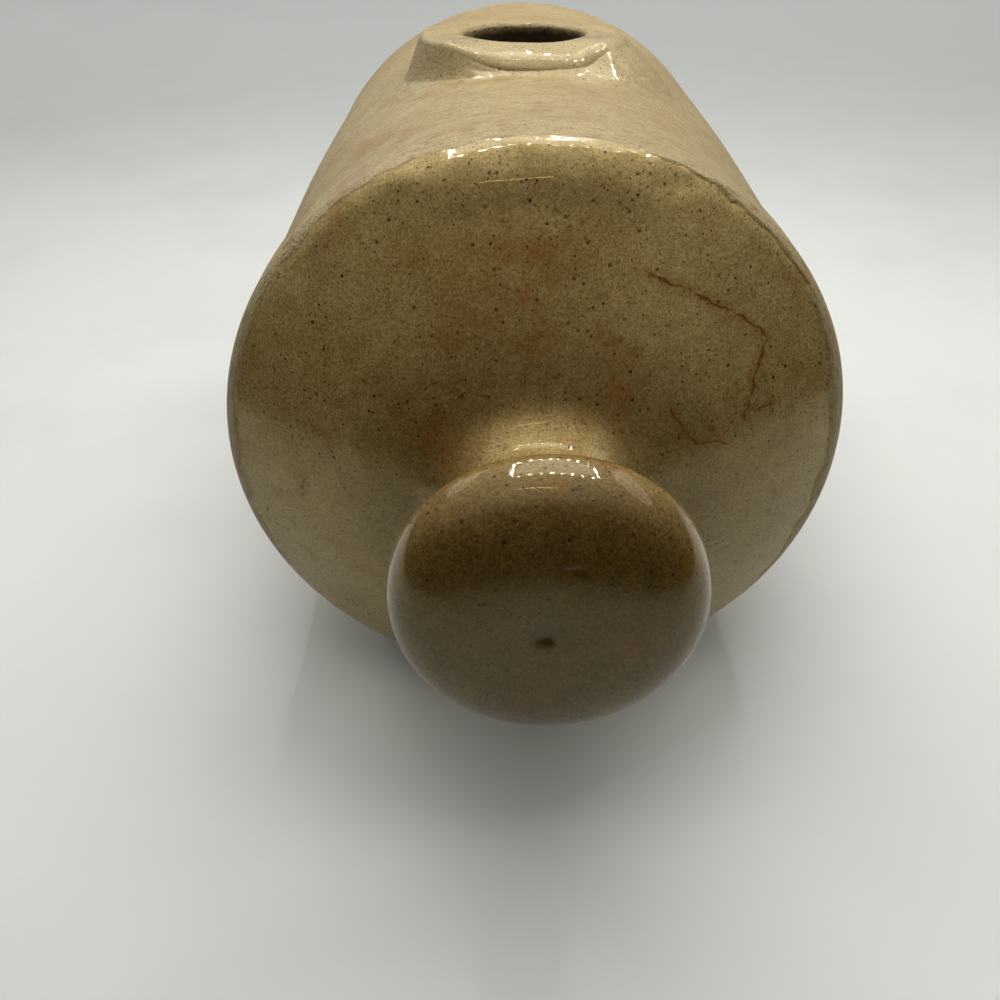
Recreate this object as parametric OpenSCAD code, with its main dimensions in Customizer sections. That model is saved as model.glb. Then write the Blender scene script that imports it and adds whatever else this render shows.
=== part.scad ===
// Stoneware hot water bottle, lying on its side with the filler mouth up.
// Frame: +Z up, barrel axis along Y, carrying knob towards -Y, Z = 0 on the underside flat.
// Lengths are in millimetres. A profile's second value is the distance ahead of the rim plane,
// so it grows towards the knob and is negative along the barrel.

/* [Barrel] */
// Outer radius of the barrel
body_r = 79.5; // [70:0.5:95]
// Length from the front rim plane to the rear face
body_len = 190; // [160:1:240]
// Thickness of the barrel wall
wall = 8; // [6:0.5:10]
// Width of the flat that the bottle lies on
flat_w = 52; // [36:1:64]

/* [Rear end] */
// Thickness of the rear disc
rear_t = 10; // [7:0.5:14]
// Rounding of the rear edge
rear_round = 5; // [2:0.5:7]

/* [Shoulder] */
// How far the shoulder's rim stands proud of the barrel
rim_proud = 1.1; // [0:0.1:2]
// Length of the rim band behind the rim plane, where it dies into the barrel
rim_len = 26; // [18:1:34]
// Rounding of the rim's front edge
rim_round = 6; // [3:0.5:8]
// Rise of the shoulder from the rim plane to the neck
shoulder_rise = 29; // [20:0.5:45]
// How much the shoulder bulges out from a straight cone
shoulder_bulge = 2.8; // [0:0.1:5]
// Thickness of the shoulder, measured along the barrel
shoulder_t = 9; // [6:0.5:11]

/* [Neck and knob] */
// Radius of the neck behind the knob
neck_r = 20; // [17:0.5:25]
// Concave fillet between the shoulder and the neck
neck_fillet = 9; // [4:0.5:11]
// Radius of the knob
knob_r = 34.7; // [29:0.1:45]
// Distance of the knob's widest circle ahead of the rim plane
knob_mid = 56; // [53:0.5:70]
// Depth of the knob's face ahead of its widest circle
knob_front = 16; // [8:0.5:24]
// Depth of the knob's back behind its widest circle
knob_back = 12; // [6:0.5:14]
// Squareness of the knob's edge: 2 is an ellipse, more is boxier
knob_square = 2.9; // [2:0.1:4]
// Radius of the socket in the neck that holds the knob's spigot
socket_r = 12; // [8:0.5:14]

/* [Filler collar] */
// Distance of the filler mouth behind the rim plane
mouth_back = 91; // [80:1:120]
// Height of the collar's top face above the barrel
collar_h = 7; // [4:0.1:12]
// Radius of the mouth
mouth_r = 17.6; // [15:0.1:22]
// Width of the flat top face round the mouth
collar_land = 11.4; // [8:0.1:14]
// How far the collar's foot flares out beyond its top face
collar_flare = 12; // [7:0.5:15]
// Rounding of the top face's outer edge
collar_round = 3; // [1:0.5:3.5]
// Rounding of the mouth's lip
lip_round = 1.5; // [0.5:0.5:2.5]
// Wall of the spigot that passes through the barrel
spigot_wall = 6.4; // [5:0.1:9]
// Width of the ledge that the washer seats on
ledge_w = 4.1; // [3:0.1:5]
// Length of the threaded throat below the ledge
throat_len = 12; // [9:0.5:18]

/* [Stopper] */
// Pitch of the screw thread
thread_pitch = 6; // [4:0.5:8]
// Depth of the thread from crest to root
thread_depth = 1.8; // [1:0.1:2.2]
// Length of the plug below the ledge
plug_len = 11; // [7:0.5:15]
// Thickness of the stopper's head
head_t = 4; // [3:0.5:7]
// Thickness of the sealing washer
washer_t = 2; // [1.5:0.5:4]
// Length of the grip bar
grip_len = 26; // [18:0.5:28]
// Thickness of the grip bar
grip_t = 7; // [4:0.5:10]
// Height of the grip bar above the head
grip_h = 6; // [4:0.5:10]
// How deep the grip bar is let into the head
grip_seat = 1.2; // [0.5:0.1:2]
// Depth of the grip bar's top below the collar's top face
grip_depth = 7; // [5:0.5:12]

/* [Fits] */
// Gap round a luted spigot
lute_gap = 0.2; // [0.1:0.05:0.5]
// Length of the locating rings inside the barrel
register_len = 5; // [3:0.5:10]
// Thickness of the locating rings
register_t = 6; // [4:0.5:9]
// Clearance of the screw thread
thread_gap = 0.4; // [0.25:0.05:0.6]
// Clearance round the stopper's head and washer
head_gap = 0.4; // [0.3:0.05:1]
// Gap between the washer and the plug's neck
washer_gap = 0.3; // [0.2:0.05:0.6]

/* [Hidden] */
$fn = 96;

// Barrel and shoulder
axis_z = sqrt(body_r ^ 2 - (flat_w / 2) ^ 2);
rim_r = body_r + rim_proud;
bore_r = body_r - wall;
register_r = bore_r - lute_gap;
register_in_r = register_r - register_t;
rim_y = (knob_mid + knob_front - body_len) / 2;
beyond = 2 * (body_len + body_r);

// Knob seat: where the knob's back reaches the neck's radius
knob_base = knob_mid - knob_back * (1 - (neck_r / knob_r) ^ knob_square) ^ (1 / knob_square);

// Filler collar
mouth_y = rim_y + mouth_back;
collar_top = axis_z + body_r + collar_h;
plateau_r = mouth_r + collar_land;
foot_r = plateau_r + collar_flare;
spigot_r = mouth_r + spigot_wall;
ledge_z = collar_top - grip_depth - grip_h - head_t - washer_t;
throat_r = mouth_r - ledge_w - thread_depth / 2;

// Stopper
head_r = mouth_r - head_gap;
plug_r = throat_r - thread_gap;
plug_neck_r = plug_r - thread_depth;
plug_lead = 1.2;
head_z = ledge_z + washer_t;

// How many steps each curve has
arc_steps = 10;
dome_steps = 16;
knob_steps = 18;
flare_sides = 60;
flare_rings = 7;
edge_rings = 4;
screw_sides = 30;
screw_rings_per_turn = 12;
// Bend of the collar's flare: 1 is a round hollow, 2 is a straight cone
flare_bend = 1.5;
// How deep the flare runs below the barrel's face, so that it meets it at an angle
flare_sink = 1;
// How far a cut or a joined shape runs past the face it meets
overrun = 1;

clay_light = "#bfaa80";
clay_dark = "#a38d66";
clay_stopper = "#8f7a55";
rubber_black = "#2b2a28";

// Height of the shoulder's outer face at a radius
function shoulder_share(r) = (rim_r - r) / (rim_r - neck_r);
function shoulder_at(r) = let (s = shoulder_share(r))
    shoulder_rise * s + 4 * shoulder_bulge * s * (1 - s);
// Slope of that face there, as an angle
function shoulder_angle(r) =
    atan((shoulder_rise + 4 * shoulder_bulge * (1 - 2 * shoulder_share(r))) / (rim_r - neck_r));
function arc(centre, r, from, to) =
    [for (i = [0 : arc_steps]) let (a = from + (to - from) * i / arc_steps)
        centre + r * [cos(a), sin(a)]];

// The rim band swells out of the barrel over half its length
rim_swell = [for (i = [0 : arc_steps]) let (share = i / arc_steps)
    [body_r + rim_proud * (1 - cos(180 * share)) / 2, rim_len * (share / 2 - 1)]];

// The rim's rounding meets the barrel's line and the start of the shoulder
rim_turn = 90 - shoulder_angle(rim_r);
rim_start = rim_round * tan(rim_turn / 2);
rim_arc = arc([rim_r - rim_round, -rim_start], rim_round, 0, rim_turn);

// The neck's fillet touches the shoulder and the neck
fillet_angle = shoulder_angle(neck_r + 0.7 * neck_fillet);
fillet_foot_r = neck_r + neck_fillet * (1 - sin(fillet_angle));
fillet_top = shoulder_at(fillet_foot_r) + neck_fillet * cos(fillet_angle);
fillet_arc = arc([neck_r + neck_fillet, fillet_top], neck_fillet, 270 - fillet_angle, 180);

shoulder_start_r = rim_arc[arc_steps].x;
shoulder_outer = [for (i = [1 : dome_steps - 1])
    let (r = shoulder_start_r + (fillet_foot_r - shoulder_start_r) * i / dome_steps)
        [r, shoulder_at(r)]];
shoulder_inner = [for (i = [0 : dome_steps])
    let (r = bore_r * i / dome_steps)
        [r, shoulder_at(r) - shoulder_t]];

// Knob outline, from its face round its widest circle to the neck
knob_power = 2 / knob_square;
knob_end_angle = acos((neck_r / knob_r) ^ (knob_square / 2));
knob_face = [for (i = [0 : knob_steps]) let (a = 90 * (1 - i / knob_steps))
    [knob_r * cos(a) ^ knob_power, knob_mid + knob_front * sin(a) ^ knob_power]];
knob_rear = [for (i = [1 : knob_steps]) let (a = knob_end_angle * i / knob_steps)
    [knob_r * cos(a) ^ knob_power, knob_mid - knob_back * sin(a) ^ knob_power]];
spigot_end = shoulder_at(socket_r) - shoulder_t;

// Puts a turned shape on the barrel's axis
module on_axis() {
    translate([0, rim_y, axis_z]) rotate([90, 0, 0]) children();
}

// Trims a shape level, as clay paddled flat
module above(level) {
    intersection() {
        children();
        translate([-beyond, -beyond, level]) cube(2 * beyond);
    }
}

module at_mouth(level) {
    translate([0, mouth_y, level]) children();
}

// Ring inside a joint: it is one with the end piece on one side and locates the barrel on the other
module register_ring(joint, towards, anchor) {
    anchor_end = joint - towards * anchor;
    free_end = joint + towards * register_len;
    above(wall + lute_gap) on_axis() rotate_extrude() polygon([
        [register_in_r, anchor_end], [bore_r + overrun, anchor_end], [bore_r + overrun, joint],
        [register_r, joint], [register_r, free_end], [register_in_r, free_end]]);
}

module barrel_round(r) {
    on_axis() translate([0, 0, rear_t - body_len]) cylinder(r = r, h = body_len - rear_t - rim_len);
}

module barrel() {
    color(clay_light) difference() {
        above(0) barrel_round(body_r);
        above(wall) on_axis() translate([0, 0, -body_len]) cylinder(r = bore_r, h = body_len);
        at_mouth(axis_z) cylinder(r = spigot_r + lute_gap, h = body_r + overrun);
    }
}

module rear_end() {
    joint = rear_t - body_len;
    color(clay_light) union() {
        above(0) on_axis() rotate_extrude() polygon(concat(
            [[0, joint], [0, -body_len]],
            arc([body_r - rear_round, rear_round - body_len], rear_round, -90, 0),
            [[body_r, joint]]));
        register_ring(joint, 1, overrun);
    }
}

module shoulder() {
    color(clay_dark) difference() {
        union() {
            difference() {
                above(0) on_axis() rotate_extrude() polygon(concat(
                    [[0, -rim_len]], rim_swell, rim_arc, shoulder_outer, fillet_arc,
                    [[neck_r, knob_base], [0, knob_base]]));
                above(wall) on_axis() rotate_extrude() polygon(concat(
                    [[0, -rim_len - overrun]], shoulder_inner, [[bore_r, -rim_len - overrun]]));
            }
            register_ring(-rim_len, -1, register_len);
        }
        on_axis() cylinder(r = socket_r, h = knob_base + overrun);
    }
}

module knob() {
    color(clay_dark) on_axis() rotate_extrude() polygon(concat(
        knob_face, knob_rear,
        [[socket_r - lute_gap, knob_base], [socket_r - lute_gap, spigot_end], [0, spigot_end]]));
}

// Points of the collar's outside: a rounded top edge, then a flare down to the round barrel
function ring(r, heights) = [for (k = [0 : flare_sides - 1]) let (turn = 360 * k / flare_sides)
    [r * cos(turn), r * sin(turn), heights[k]]];
function level(z) = [for (k = [1 : flare_sides]) z];
foot_heights = [for (k = [0 : flare_sides - 1]) let (x = foot_r * cos(360 * k / flare_sides))
    axis_z + sqrt(body_r ^ 2 - x ^ 2) - flare_sink];
flare_top = collar_top - collar_round;
function edge_ring(a) =
    ring(plateau_r - collar_round * (1 - sin(a)), level(flare_top + collar_round * cos(a)));
function flare_ring(a) =
    ring(foot_r - collar_flare * cos(a) ^ flare_bend,
         [for (foot = foot_heights) flare_top - (flare_top - foot) * sin(a) ^ flare_bend]);
// Lowest ring first, from a level base inside the barrel
collar_rings = concat(
    [ring(foot_r, level(min(foot_heights) - overrun))],
    [for (i = [flare_rings : -1 : 0]) flare_ring(90 * i / flare_rings)],
    [for (i = [edge_rings - 1 : -1 : 0]) edge_ring(90 * i / edge_rings)]);

// Closed solid through a list of rings, lowest ring first
module ring_stack(rings) {
    sides = len(rings[0]);
    top = len(rings) - 1;
    polyhedron(
        points = [for (ring = rings) each ring],
        faces = concat(
            [[for (k = [0 : sides - 1]) k]],
            [for (i = [0 : top - 1], k = [0 : sides - 1]) let (next = (k + 1) % sides)
                each [[i * sides + k, (i + 1) * sides + k, (i + 1) * sides + next],
                      [i * sides + k, (i + 1) * sides + next, i * sides + next]]],
            [[for (k = [sides - 1 : -1 : 0]) top * sides + k]]));
}

// Rod with a round right-hand thread: a circle whose centre winds round the axis
module screw_rod(r, low, high, lead = 0) {
    rings = ceil((high - low) / thread_pitch * screw_rings_per_turn);
    ring_stack([for (i = [0 : rings]) let (z = low + (high - low) * i / rings, wind = 360 * z / thread_pitch)
        [for (k = [0 : screw_sides - 1]) let (a = 360 * k / screw_sides)
            concat(thread_depth / 2 * [cos(wind), sin(wind)]
                   + (i == 0 ? r - lead : r) * [cos(a), sin(a)], z)]]);
}

// Cuts a rounded lip into the top of the mouth
module lip_cut() {
    at_mouth(collar_top - lip_round) rotate_extrude() difference() {
        translate([mouth_r - overrun, 0]) square([lip_round + overrun, lip_round + overrun]);
        translate([mouth_r + lip_round, 0]) circle(r = lip_round);
    }
}

module filler_collar() {
    throat_end = ledge_z - throat_len;
    color(clay_light) difference() {
        union() {
            difference() {
                at_mouth(0) ring_stack(collar_rings);
                barrel_round(body_r);
            }
            at_mouth(throat_end) cylinder(r = spigot_r, h = collar_top - collar_round - throat_end);
        }
        at_mouth(ledge_z) cylinder(r = mouth_r, h = collar_top);
        at_mouth(ledge_z) screw_rod(throat_r, -throat_len - overrun, overrun);
        lip_cut();
    }
}

module sealing_washer() {
    color(rubber_black) at_mouth(ledge_z) difference() {
        cylinder(r = head_r, h = washer_t);
        translate([0, 0, -overrun]) cylinder(r = plug_neck_r + washer_gap, h = washer_t + 2 * overrun);
    }
}

// Side outline of the grip bar, with round upper corners
module grip_outline(foot) {
    half = grip_len / 2;
    translate([-half, -foot]) square([grip_len, foot + grip_h / 2]);
    for (side = [-1, 1]) translate([side * (half - grip_h / 2), grip_h / 2]) circle(r = grip_h / 2);
    translate([grip_h / 2 - half, 0]) square([grip_len - grip_h, grip_h]);
}

module stopper_plug() {
    color(clay_stopper) difference() {
        union() {
            at_mouth(head_z) cylinder(r = head_r, h = head_t);
            at_mouth(ledge_z - overrun) cylinder(r = plug_neck_r, h = washer_t + 2 * overrun);
            at_mouth(ledge_z) screw_rod(plug_r, -plug_len, -thread_gap, plug_lead);
        }
        at_mouth(head_z + head_t - grip_seat)
            translate([-grip_len / 2 - lute_gap, -grip_t / 2 - lute_gap, 0])
                cube([grip_len + 2 * lute_gap, grip_t + 2 * lute_gap, grip_seat + overrun]);
    }
}

module stopper_grip() {
    color(clay_stopper) at_mouth(head_z + head_t) translate([0, grip_t / 2, 0])
        rotate([90, 0, 0]) linear_extrude(grip_t) grip_outline(grip_seat);
}

barrel();
rear_end();
shoulder();
knob();
filler_collar();
sealing_washer();
stopper_plug();
stopper_grip();
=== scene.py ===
import math
import bmesh
import bpy
import numpy as np
from mathutils import Matrix, Vector


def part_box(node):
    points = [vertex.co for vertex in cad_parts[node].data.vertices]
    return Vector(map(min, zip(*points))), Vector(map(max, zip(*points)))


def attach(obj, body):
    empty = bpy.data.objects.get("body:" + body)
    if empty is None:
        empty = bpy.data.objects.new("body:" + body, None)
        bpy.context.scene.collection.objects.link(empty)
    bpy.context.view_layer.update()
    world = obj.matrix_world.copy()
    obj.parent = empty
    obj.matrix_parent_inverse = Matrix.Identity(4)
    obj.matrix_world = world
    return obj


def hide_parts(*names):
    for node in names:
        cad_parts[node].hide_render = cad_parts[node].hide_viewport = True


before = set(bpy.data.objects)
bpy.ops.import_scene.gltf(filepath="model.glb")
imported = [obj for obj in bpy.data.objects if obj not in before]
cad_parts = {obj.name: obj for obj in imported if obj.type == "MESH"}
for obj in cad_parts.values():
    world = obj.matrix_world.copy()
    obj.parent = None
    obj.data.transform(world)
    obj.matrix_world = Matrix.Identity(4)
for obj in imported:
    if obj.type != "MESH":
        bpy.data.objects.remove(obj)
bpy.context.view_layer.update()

# A stoneware bed bottle, lying down with its filler mouth up. Blender works in metres;
# the dictionaries below are in millimetres and degrees unless they say otherwise.
mm = 0.001
scene = bpy.context.scene
scene.view_settings.view_transform = "Standard"


def inMm(corner):
    return [value / mm for value in corner]


# What the frame already knows
barrelLow, barrelHigh = map(inMm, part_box("barrel"))
rearLow, rearHigh = map(inMm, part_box("rear_end"))
shoulderLow, shoulderHigh = map(inMm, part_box("shoulder"))
knobLow, knobHigh = map(inMm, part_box("knob"))
collarLow, collarHigh = map(inMm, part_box("filler_collar"))
washerLow, washerHigh = map(inMm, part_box("sealing_washer"))
plugLow, plugHigh = map(inMm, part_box("stopper_plug"))
gripLow, gripHigh = map(inMm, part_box("stopper_grip"))

clay = {
    "wall": 8,  # thickness of the barrel's wall
    "rimLen": 26,  # rim band behind the rim plane
    "wobble": 0.5,  # how far the hand-thrown walls wander
    "wobbleScale": 17,  # wanderings per metre
    "softFloor": 3,  # rounding where the flat was paddled
    "inset": 0.1,  # keeps the widest wanderings inside the part's box
    "seed": 4.2,
}
bodyR = barrelHigh[0]
rimR = shoulderHigh[0] - clay["inset"]
knobR = knobHigh[0]
boreR = bodyR - clay["wall"]
axisZ = (knobLow[2] + knobHigh[2]) / 2
rimY = barrelLow[1] - clay["rimLen"]
mouthY = (washerLow[1] + washerHigh[1]) / 2
collarTop = collarHigh[2]
ledgeZ = washerLow[2]
barrelTop = axisZ + bodyR


def ahead(y):
    # distance ahead of the rim plane, towards the knob
    return rimY - y


class Wire:
    # one node socket, so that node sums read as plain Python
    def __init__(self, socket):
        self.socket = socket

    def node(self, kind, settings=None, sockets=None, out=0):
        tree = self.socket.id_data
        made = tree.nodes.new(kind)
        for name, value in (settings or {}).items():
            setattr(made, name, value)
        for name, value in (sockets or {}).items():
            if isinstance(value, Wire):
                tree.links.new(value.socket, made.inputs[name])
            else:
                made.inputs[name].default_value = value
        return Wire(made.outputs[out])

    def into(self, socket):
        self.socket.id_data.links.new(self.socket, socket)

    def maths(self, operation, *others):
        return self.node("ShaderNodeMath", {"operation": operation}, dict(enumerate((self, *others))))

    def __add__(self, other):
        return self.maths("ADD", other)

    def __sub__(self, other):
        return self.maths("SUBTRACT", other)

    def __rsub__(self, other):
        return self.node("ShaderNodeMath", {"operation": "SUBTRACT"}, {0: other, 1: self})

    def __mul__(self, other):
        return self.maths("MULTIPLY", other)

    def __truediv__(self, other):
        return self.maths("DIVIDE", other)

    __radd__ = __add__
    __rmul__ = __mul__

    def ease(self, low, high):
        # 0 at low, 1 at high, eased at both ends
        return self.node("ShaderNodeMapRange", {"interpolation_type": "SMOOTHSTEP"},
                         {"Value": self, "From Min": low, "From Max": high})

    def over(self, under, top):
        # lays the colour top over the colour under, by this mask
        return self.node("ShaderNodeMix", {"data_type": "RGBA"}, {0: self, 6: under, 7: top}, 2)

    def part(self, axis):
        return self.node("ShaderNodeSeparateXYZ", {}, {0: self}, axis)

    def vector(self, operation, other):
        return self.node("ShaderNodeVectorMath", {"operation": operation}, {0: self, 1: other})

    def scaled(self, by):
        return self.node("ShaderNodeVectorMath", {"operation": "SCALE"}, {0: self, "Scale": by})


def bundle(x, y, z):
    return x.node("ShaderNodeCombineXYZ", {}, {0: x, 1: y, 2: z})


def paint(red, green, blue):
    # a colour as a screen shows it, 0 to 255, in the linear values that shaders take
    def linear(value):
        share = value / 255
        return share / 12.92 if share <= 0.04045 else ((share + 0.055) / 1.055) ** 2.4
    return (linear(red), linear(green), linear(blue), 1.0)


# Glazes

stoneware = {
    "frontClay": paint(197, 174, 114),  # glossy tan of the shoulder, knob and filler boss
    "frontDeep": paint(138, 110, 55),
    "knobClay": paint(112, 81, 27),  # the glaze lies thicker on the knob; round its neck the same dark colour is painted shade
    "knobDeep": paint(26, 14, 2),
    "bossClayAndLight": paint(208, 192, 150),  # and thin and greyish on the boss, with painted light on its front wall, which faces away from the lamps
    "barrelClay": paint(178, 163, 121),  # paler, drier skin of the barrel
    "barrelDeep": paint(140, 120, 78),
    "iron": paint(134, 84, 30),  # cloudy iron bloom
    "rust": (-5, -73, 126),  # place on the shoulder where it lies thickest
    "streak": paint(124, 92, 50),
    "speck": paint(46, 30, 11),
    "vein": paint(98, 60, 22),
    "boreShadeColour": paint(20, 14, 9),  # painted shade in the bore of the mouth, darkest deep down
    "frontGloss": 0.07,  # roughness
    "barrelGloss": 0.55,
    "sheen": (1.0, 0.87, 0.54, 1.0),  # the glaze warms what it mirrors
}


def newMaterial(name):
    made = bpy.data.materials.new(name)
    made.use_nodes = True
    shader = made.node_tree.nodes["Principled BSDF"]
    place = Wire(made.node_tree.nodes.new("ShaderNodeTexCoord").outputs["Object"])
    return made, shader, place


def cloud(place, scale, seed, detail=3.0, stretch=(1, 1, 1)):
    spread = place.vector("MULTIPLY", stretch)
    return place.node("ShaderNodeTexNoise", {"noise_dimensions": "4D"},
                      {"Vector": spread, "W": seed, "Scale": scale, "Detail": detail})


def specks(place, cell, size, share, seed, soft=0.45):
    # spots of up to that radius, in the given share of cells that wide, both in millimetres
    moved = place.vector("ADD", (seed, seed * 0.7, seed * 0.3))
    ragged = place.node("ShaderNodeTexNoise", {}, {"Vector": place, "Scale": 0.6 / (size * mm)}, 1)
    moved = moved.vector("ADD", ragged.vector("SUBTRACT", (0.5, 0.5, 0.5)).scaled(size * mm))
    settings = {"feature": "F1"}
    sockets = {"Vector": moved, "Scale": 1 / (cell * mm)}
    far = place.node("ShaderNodeTexVoronoi", settings, sockets)
    chance = place.node("ShaderNodeTexVoronoi", settings, sockets, 1)
    spot = (0.55 + 0.45 * chance.part(1)) * (size / cell)
    faint = (0.45 + 0.55 * chance.part(2)) * chance.part(0).maths("LESS_THAN", share)
    return (1 - (far / spot).ease(1 - soft, 1.0)) * faint


def roughen(shader, height):
    # bumps that stand that many millimetres high
    bump = height.node("ShaderNodeBump", {}, {"Strength": 1.0, "Distance": mm, "Height": height})
    bump.into(shader.inputs["Normal"])


# Where the glossy dip lies; a pair runs from none to all of it
coat = {
    "rimPast": 1.2,  # how far it passes the rim
    "rimEdge": (2.4, 0.0),
    "rimWander": 7,
    "forward": 0.97,  # its edge comes forward to both sides, per metre
    "bossEdge": (43, 33),  # round the mouth
    "bossWander": 16,
    "bossLevel": (120, 130),
    "bossFront": (0, -14),  # thin behind the mouth, and thinner to the left
    "bossLeft": (-28, -8),
    "knobEdge": (-53, -68),  # thicker coat on the knob, from the rim plane
    "knobWander": 6,
    "neckShade": (56, 34),  # painted shade round the neck, though not on top of it
    "neckTop": (25, 30),
    "neckSide": (90, 340),  # square millimetres
    "rust": (32, 4),  # round the thickest iron
    "boreSide": (1.4, 0.2),  # painted shade in the bore, out from the mouth's wall and down from the boss's top
    "boreTop": (-0.6, -3.6),
    "boreWander": 2.4,
    "step": (0.2, 1.4),  # the dry skin's edge at the rim, which is thickest to the right
    "stepRight": (5, 28),
}


def stonewareGlaze(name, look):
    made, shader, place = newMaterial(name)
    x, y, z = (place.part(axis) for axis in range(3))

    def pair(title, start=0):
        return [(start + value) * mm for value in coat[title]]

    # the dip reached ahead of the rim, and over the filler boss
    edge = cloud(place, 110, 2.0, 5) - 0.5
    fromRim = y - rimY * mm + edge * (coat["rimWander"] * mm)
    fromRim = fromRim + x * x * coat["forward"] - coat["rimPast"] * mm
    front = fromRim.ease(*pair("rimEdge"))
    acrossY = y - mouthY * mm
    fromMouth = (x * x + acrossY * acrossY).maths("SQRT")
    boss = (fromMouth + edge * (coat["bossWander"] * mm)).ease(*pair("bossEdge"))
    boss = boss * z.ease(*pair("bossLevel"))
    boss = boss * (0.03 + 0.67 * acrossY.ease(*pair("bossFront")))
    boss = boss * (0.55 + 0.45 * x.ease(*pair("bossLeft")))
    dip = front.maths("MAXIMUM", boss)
    onKnob = (y + edge * (coat["knobWander"] * mm)).ease(*pair("knobEdge", rimY))

    # clay colours, in large drifts and a fine mottle
    drift = cloud(place, 22, 1.0, 4).ease(0.36, 0.66)
    mottle = cloud(place, 210, 3.0, 4).ease(0.3, 0.75)
    grit = cloud(place, 1250, 4.0, 2).ease(0.3, 0.7)
    tone = 0.35 * drift + 0.25 * mottle + 0.4 * grit
    glossy = tone.over(look["frontDeep"], look["frontClay"])
    upward = z - axisZ * mm
    fromAxis = (x * x + upward * upward).maths("SQRT")
    # painted shade round the neck and down the neck's sides, kept off the neck's top
    beside = (x * x).ease(*[value * mm ** 2 for value in coat["neckSide"]])
    offTop = beside.maths("MAXIMUM", fromAxis.ease(*pair("neckTop")))
    neckShade = fromAxis.ease(*pair("neckShade")) * offTop * (1 - onKnob) * 0.5
    sand = cloud(place, 2700, 17.0, 1).ease(0.3, 0.7)
    thick = (0.2 * mottle + 0.3 * grit + 0.5 * sand).over(look["knobDeep"], look["knobClay"])
    glossy = (onKnob * 0.85 + neckShade).over(glossy, thick)
    # the boss's own greyish glaze, and painted light that makes its front wall paler
    glossy = (boss * 0.7).over(glossy, look["bossClayAndLight"])
    dry = (0.6 * tone + 0.4 * sand).over(look["barrelDeep"], look["barrelClay"])

    # the barrel's dry skin is drawn out in streaks and dashes round the wheel
    around = x.maths("ARCTAN2", upward)
    wheel = bundle(around * (bodyR * mm), y, fromAxis)
    draw = cloud(wheel, 1, 5.0, 5, (50, 380, 380))
    dash = cloud(wheel, 1, 6.0, 3, (270, 1250, 1250))
    streak = draw.ease(0.5, 0.78) * 0.3 + dash.ease(0.5, 0.6) * (0.3 + 0.6 * mottle)
    dry = streak.over(dry, look["streak"])
    colour = dip.over(dry, glossy)

    # iron bloom, then smudges and specks
    broken = cloud(place, 420, 9.0, 4)
    rust = [value * mm for value in look["rust"]]
    toRust = place.node("ShaderNodeVectorMath", {"operation": "DISTANCE"}, {0: place, 1: rust}, 1)
    rusty = toRust.ease(*pair("rust"))
    where = cloud(place, 15, 8.0).ease(0.38, 0.62)
    bloom = cloud(place, 75, 7.0, 6).ease(0.48 - 0.1 * rusty, 0.72) * where.maths("MAXIMUM", rusty)
    colour = (bloom * (0.55 + 0.3 * rusty)).over(colour, look["iron"])
    smudge = specks(place, 4.0, 1.5, 0.6, 1.3, 0.9)
    colour = (smudge * 0.7 * broken.ease(0.3, 0.6)).over(colour, look["vein"])
    bold = specks(place, 2.0, 0.6, 0.7, 2.1)
    fine = specks(place, 0.9, 0.32, 0.6, 3.7)
    pepper = cloud(place, 2100, 15.0, 1).ease(0.6, 0.4) * 0.3
    dots = bold.maths("MAXIMUM", fine * 0.9).maths("MAXIMUM", pepper)
    colour = (dots * (0.7 + 0.3 * dip)).over(colour, look["speck"])

    # stained cracks drawn on the mesh: a wandering, broken line in a brown halo
    near = place.node("ShaderNodeAttribute", {"attribute_name": "vein"}, {}, "Fac")
    aside = place.node("ShaderNodeAttribute", {"attribute_name": "veinSide"}, {}, "Fac")
    aside = aside + 2.2 * (cloud(place, 380, 13.0, 4) - 0.5)
    width = 0.3 + 2.0 * (cloud(place, 300, 14.0, 3) - 0.48)
    line = aside.maths("ABSOLUTE").ease(width, width * 0.4) * near.ease(0.1, 0.5)
    line = line * width.maths("GREATER_THAN", 0.05)
    halo = near.ease(0.0, 0.9) * broken.ease(0.3, 0.65)
    colour = (halo * 0.55).over(colour, onKnob.over(look["iron"], look["speck"]))
    colour = (line * 0.8).over(colour, look["vein"])

    # painted shade: the bore of the mouth darkens with depth
    inBore = fromMouth.ease(*pair("boreSide", mouth["radius"]))
    ragged = cloud(place, 260, 10.0) * coat["boreWander"] * mm
    boreShade = inBore * (z + ragged).ease(*pair("boreTop", collarTop))
    colour = (boreShade * 0.96).over(colour, look["boreShadeColour"])
    colour.into(shader.inputs["Base Color"])

    dryness = cloud(place, 120, 11.0, 4)
    gloss = look["frontGloss"] * (0.8 + 0.4 * mottle) + 0.1 * smudge
    matt = look["barrelGloss"] * (0.8 + 0.4 * dryness)
    rough = matt + dip.ease(0.0, 0.75) * (gloss - matt)
    rough = rough + boreShade * (0.9 - rough)
    rough.into(shader.inputs["Roughness"])

    # orange peel under the gloss, drawn grain on the dry skin, pits at the specks
    peel = cloud(place, 260, 12.0, 1) * 0.016 + cloud(place, 900, 16.0, 1) * 0.012 * (1 - onKnob)
    grain = (dash * 0.22 + draw * 0.12 + grit * 0.1) * (1 - dip.ease(0.0, 0.6))
    step = fromRim.ease(*pair("step")) * (0.06 + 0.3 * x.ease(*pair("stepRight")))
    roughen(shader, peel + grain + step - bold * 0.02)
    shader.inputs["Specular IOR Level"].default_value = 0.55
    shader.inputs["Specular Tint"].default_value = look["sheen"]
    return made


stopperLook = {
    "clay": paint(132, 104, 66),
    "deep": paint(96, 70, 40),
    "speck": paint(36, 24, 14),
    "gloss": 0.2,
}


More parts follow.
